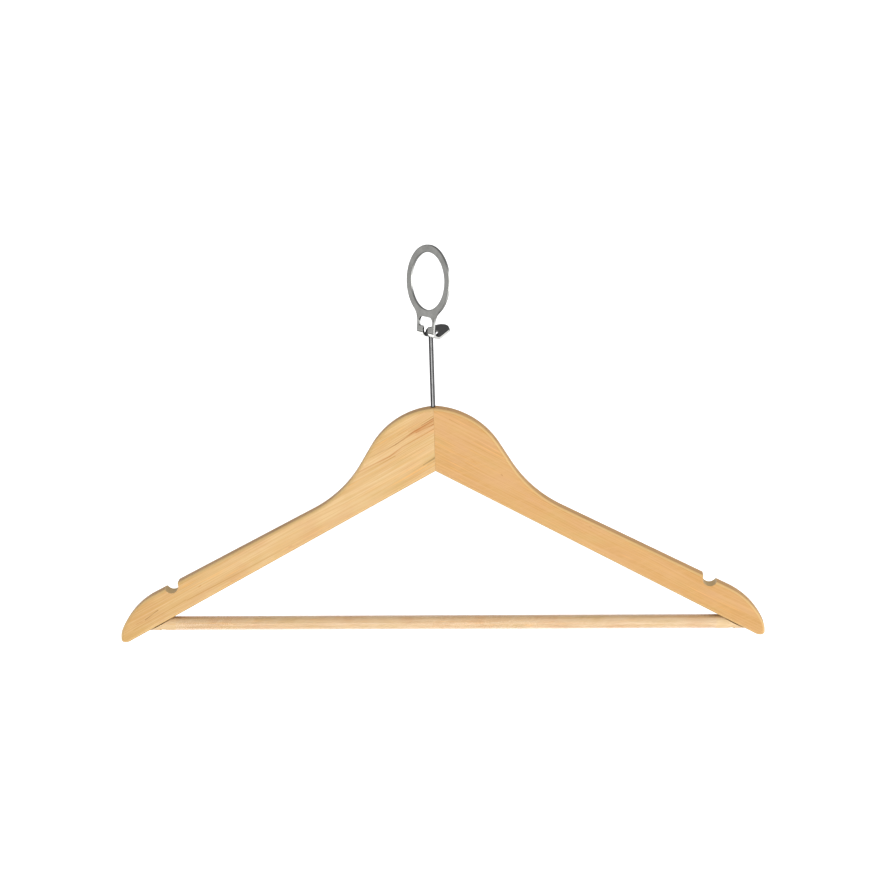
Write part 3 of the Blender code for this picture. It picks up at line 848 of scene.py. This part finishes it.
def make_looks():
    rust, brown = srgb(150, 88, 20), srgb(118, 76, 24)
    olive, tan = srgb(112, 86, 36), lit(208, 158, 94)
    # Each streak: colour, where it starts and ends along and across the board, widths, strengths.
    left_streaks = [
        (lit(222, 172, 102), (-110.0, 10.0), (-270.0, 10.0), (40.0, 40.0), (0.0, 0.5)),
        (rust, (18.6, 31.7), (2.5, 31.2), (1.9, 1.6), (0.95, 0.95)),
        (rust, (2.6, 31.4), (-9.0, 30.0), (1.5, 0.5), (0.95, 0.3)),
        (brown, (18.6, 32.9), (8.0, 32.4), (0.45, 0.4), (0.8, 0.5)),
        (brown, (1.0, 31.2), (-14.0, 29.7), (0.4, 0.6), (0.5, 0.8)),
        (brown, (-13.9, 29.7), (-34.0, 30.4), (0.6, 0.4), (0.7, 0.2)),
        (rust, (16.8, 29.2), (2.0, 30.0), (0.8, 0.6), (1.0, 0.7)),
        (tan, (18.6, 34.0), (-2.0, 33.2), (0.7, 0.6), (0.8, 0.5)),
        (rust, (15.0, 26.2), (-11.0, 26.1), (0.45, 0.5), (0.75, 0.65)),
        (rust, (-10.9, 26.1), (-21.5, 24.6), (0.6, 0.7), (0.6, 0.7)),
        (rust, (-21.4, 24.6), (-50.0, 25.7), (0.7, 0.5), (0.7, 0.35)),
        (tan, (-18.0, 23.0), (-60.0, 23.4), (0.6, 0.5), (0.7, 0.5)),
        (rust, (20.0, 35.7), (-10.0, 34.6), (0.4, 0.4), (0.35, 0.25)),
        (olive, (6.0, 8.5), (-5.0, 8.1), (1.2, 0.6), (1.0, 0.7)),
        (olive, (4.6, 6.8), (-3.0, 6.8), (0.5, 0.4), (0.9, 0.45)),
        (tan, (-4.0, 8.2), (-46.0, 6.4), (0.4, 0.4), (0.6, 0.3)),
        (brown, (-217.0, 9.7), (-229.0, 8.1), (0.45, 0.55), (0.8, 0.75)),
        (rust, (-231.0, 8.2), (-236.0, 8.5), (0.5, 0.6), (0.4, 0.4)),
        (tan, (-196.0, 6.4), (-240.0, 5.6), (0.6, 0.5), (0.8, 0.6)),
        (tan, (-120.0, 4.0), (-196.0, 6.0), (0.4, 0.6), (0.4, 0.8)),
        (rust, (-112.0, 3.7), (-115.0, 3.6), (0.4, 0.4), (0.6, 0.5)),
        (brown, (-149.8, 18.0), (-151.4, 17.8), (0.5, 0.5), (0.6, 0.6)),
        (rust, (-181.6, 10.4), (-184.0, 10.0), (0.5, 0.5), (0.6, 0.6)),
    ]
    right_streaks = [
        (tan, (-8.5, 36.9), (0.0, 36.5), (0.5, 0.4), (0.6, 0.3)),
        (rust, (17.0, 19.3), (21.0, 18.9), (0.4, 0.4), (0.35, 0.35)),
        (brown, (40.2, 18.9), (41.8, 18.7), (0.55, 0.5), (0.7, 0.7)),
        (brown, (110.0, 14.7), (112.0, 14.4), (0.45, 0.4), (0.6, 0.5)),
    ]
    slope = math.radians(UNDER_SLOPE)
    left_tones = (lit(249, 214, 162), lit(230, 187, 128))
    right_tones = (lit(239, 192, 136), lit(224, 174, 112))
    bar_tones = (srgb(194, 170, 134), srgb(179, 147, 104))
    dowel_tones = (lit(232, 205, 160), lit(214, 178, 128))
    left_rim, right_rim = srgb(174, 134, 82), srgb(180, 138, 84)
    zinc, zinc_dull = srgb(205, 200, 186), srgb(168, 160, 138)
    nickel, nickel_dull = srgb(150, 150, 147), srgb(132, 132, 129)
    sheared, sheared_dull = srgb(188, 188, 185), srgb(150, 150, 147)
    shank, shank_dull = srgb(68, 68, 68), srgb(54, 54, 54)
    bright, bright_dull = srgb(190, 190, 186), srgb(150, 150, 146)
    flat = ring_turn().inverted()
    return {
        "left": wood(
            "arm_left_wood", mitre_foot, slope, left_tones, 3.0, 0.36,
            streaks=left_streaks, rim=left_rim, side=-1,
        ),
        "right": wood(
            "arm_right_wood", mitre_foot, -slope, right_tones, 11.0, 0.3, 0.5,
            streaks=right_streaks, rim=right_rim, side=1,
        ),
        "bar": wood("bar_wood_grain", bar_centre(0.0), -BAR_TILT, bar_tones, 19.0, 0.5, 0.6),
        "dowel": wood("dowel_wood_grain", mitre_foot, 0.0, dowel_tones, 27.0, 0.4),
        "ring": steel(
            "ring_nickel", nickel, nickel_dull, 0.34, (0.25, 0.25, 5.0), 0.25, 1.0,
            turn_by=flat, extra=ring_marks_and_painted_light,
        ),
        "rim": steel(
            "ring_sheared_rim", sheared, sheared_dull, 0.26, (2.5, 2.5, 2.5), 0.1, 5.0,
            extra=rim_marks_and_painted_shade,
        ),
        "pin": steel(
            "pin_nickel", shank, shank_dull, 0.08, (6.0, 6.0, 0.1), 0.15, 9.0, relief=0.05,
        ),
        "brad": steel("brad_bright", bright, bright_dull, 0.3, (3.0, 0.2, 3.0), 0.2, 13.0),
        "zinc": steel("screw_zinc", zinc, zinc_dull, 0.32, (2.0, 2.0, 2.0), 0.2, 17.0),
        "vinyl": vinyl("sleeve_clear_vinyl"),
    }


# ---------------------------------------------------------------- the hanger


def stand_in(piece, body, node):
    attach(piece, body)
    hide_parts(node)


def dress(node, look):
    """Give a CAD node a better material in every slot it has."""
    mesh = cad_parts[node].data
    if not mesh.materials:
        mesh.materials.append(look)
    for i in range(len(mesh.materials)):
        mesh.materials[i] = look


def build_hanger():
    looks = make_looks()
    stand_in(ring_plate(looks["ring"], looks["rim"]), "ring", "security_ring")
    stand_in(pin_piece(looks["pin"]), "pin", "hanger_pin")
    stand_in(arm_piece(-1, "left_arm_piece", looks["left"]), "frame", "left_arm")
    stand_in(arm_piece(1, "right_arm_piece", looks["right"]), "frame", "right_arm")
    stand_in(bar_piece(looks["bar"]), "frame", "trouser_bar")
    stand_in(sleeve_piece(looks["vinyl"]), "frame", "bar_sleeve")
    dress("mitre_dowel_upper", looks["dowel"])
    dress("mitre_dowel_lower", looks["dowel"])
    dress("pin_lock_brad", looks["brad"])
    dress("bar_screw_left", looks["zinc"])
    dress("bar_screw_right", looks["zinc"])


# ---------------------------------------------------------------- studio


def floor_look():
    look = Look("floor_paper")
    look.fix(Roughness=0.9, Emission_Color=(1.0, 1.0, 1.0, 1.0), Emission_Strength=0.5)
    place = look.place_mm()
    fibre = look.noise(look.stretched(place, 0.004, 0.004, 0.004), detail=3.0)
    look.set("Base Color", look.mix(fibre, srgb(246, 246, 246), srgb(250, 250, 250)))
    return look.material


def make_floor():
    bm = bmesh.new()
    bmesh.ops.create_grid(bm, x_segments=8, y_segments=8, size=FLOOR_HALF_SIZE)
    mesh = bpy.data.meshes.new("studio_floor")
    bm.to_mesh(mesh)
    bm.free()
    floor = bpy.data.objects.new("studio_floor", mesh)
    floor.location.z = cad_box[0].z - FLOOR_DROP
    mesh.materials.append(floor_look())
    bpy.context.scene.collection.objects.link(floor)


def make_sky():
    """Bright near the horizon, a little dimmer overhead."""
    world = bpy.data.worlds.new("studio_sky")
    world.use_nodes = True
    tree = world.node_tree
    shade = tree.nodes["Background"]
    split = tree.nodes.new("ShaderNodeSeparateXYZ")
    coords = tree.nodes.new("ShaderNodeTexCoord")
    ramp = tree.nodes.new("ShaderNodeValToRGB")
    tree.links.new(coords.outputs["Generated"], split.inputs[0])
    tree.links.new(split.outputs["Z"], ramp.inputs["Fac"])
    tree.links.new(ramp.outputs["Color"], shade.inputs["Color"])
    ramp.color_ramp.elements[0].position = 0.0
    ramp.color_ramp.elements[0].color = (1.06, 1.06, 1.06, 1.0)
    ramp.color_ramp.elements[1].position = 0.3
    ramp.color_ramp.elements[1].color = (0.82, 0.82, 0.83, 1.0)
    bpy.context.scene.world = world


def softbox(name, place, aim, width, height, watts):
    """A rectangular light in metres and watts, unseen by the camera."""
    light = bpy.data.lights.new(name, "AREA")
    light.shape = "RECTANGLE"
    light.size = width
    light.size_y = height
    light.energy = watts
    obj = bpy.data.objects.new(name, light)
    obj.location = place
    obj.rotation_euler = (Vector(aim) - Vector(place)).to_track_quat("-Z", "Y").to_euler()
    obj.visible_camera = False
    bpy.context.scene.collection.objects.link(obj)


def make_camera():
    """The photographer's view: a little above and to the right, with the hanger's slight tilt."""
    azimuth, elevation = math.radians(CAMERA_AZIMUTH), math.radians(CAMERA_ELEVATION)
    roll = math.radians(CAMERA_ROLL)
    level = math.cos(elevation)
    ahead = Vector((-math.sin(azimuth) * level, math.cos(azimuth) * level, -math.sin(elevation)))
    right = Vector((math.cos(azimuth), math.sin(azimuth), 0.0))
    above = right.cross(ahead)
    right_rolled = right * math.cos(roll) - above * math.sin(roll)
    up_rolled = above * math.cos(roll) + right * math.sin(roll)
    turn = Matrix((right_rolled, up_rolled, -ahead)).transposed()
    camera = bpy.data.cameras.new("camera")
    camera.sensor_width = 36.0
    camera.lens = CAMERA_LENS
    camera.clip_start = 0.05
    camera.clip_end = 60.0
    obj = bpy.data.objects.new("camera", camera)
    eye = frame_point(*CAMERA_TARGET) - ahead * CAMERA_DISTANCE
    obj.matrix_world = Matrix.Translation(eye * MM) @ turn.to_4x4()
    bpy.context.scene.collection.objects.link(obj)
    bpy.context.scene.camera = obj


build_hanger()
make_floor()
make_sky()
softbox("key", (0.5, -1.5, 1.35), (0, 0, -0.15), 0.9, 0.9, 11.0)
softbox("low_front", (0.1, -1.9, -0.5), (0, 0, -0.06), 1.8, 0.2, 13.5)
softbox("right_kicker", (1.8, -0.45, 0.05), (0, 0, -0.05), 1.5, 1.6, 14.0)
softbox("floor_glow", (-0.5, 0.8, -0.62), (0, 0, -0.1), 1.4, 1.0, 4.5)
make_camera()
bpy.context.scene.view_settings.view_transform = "Standard"
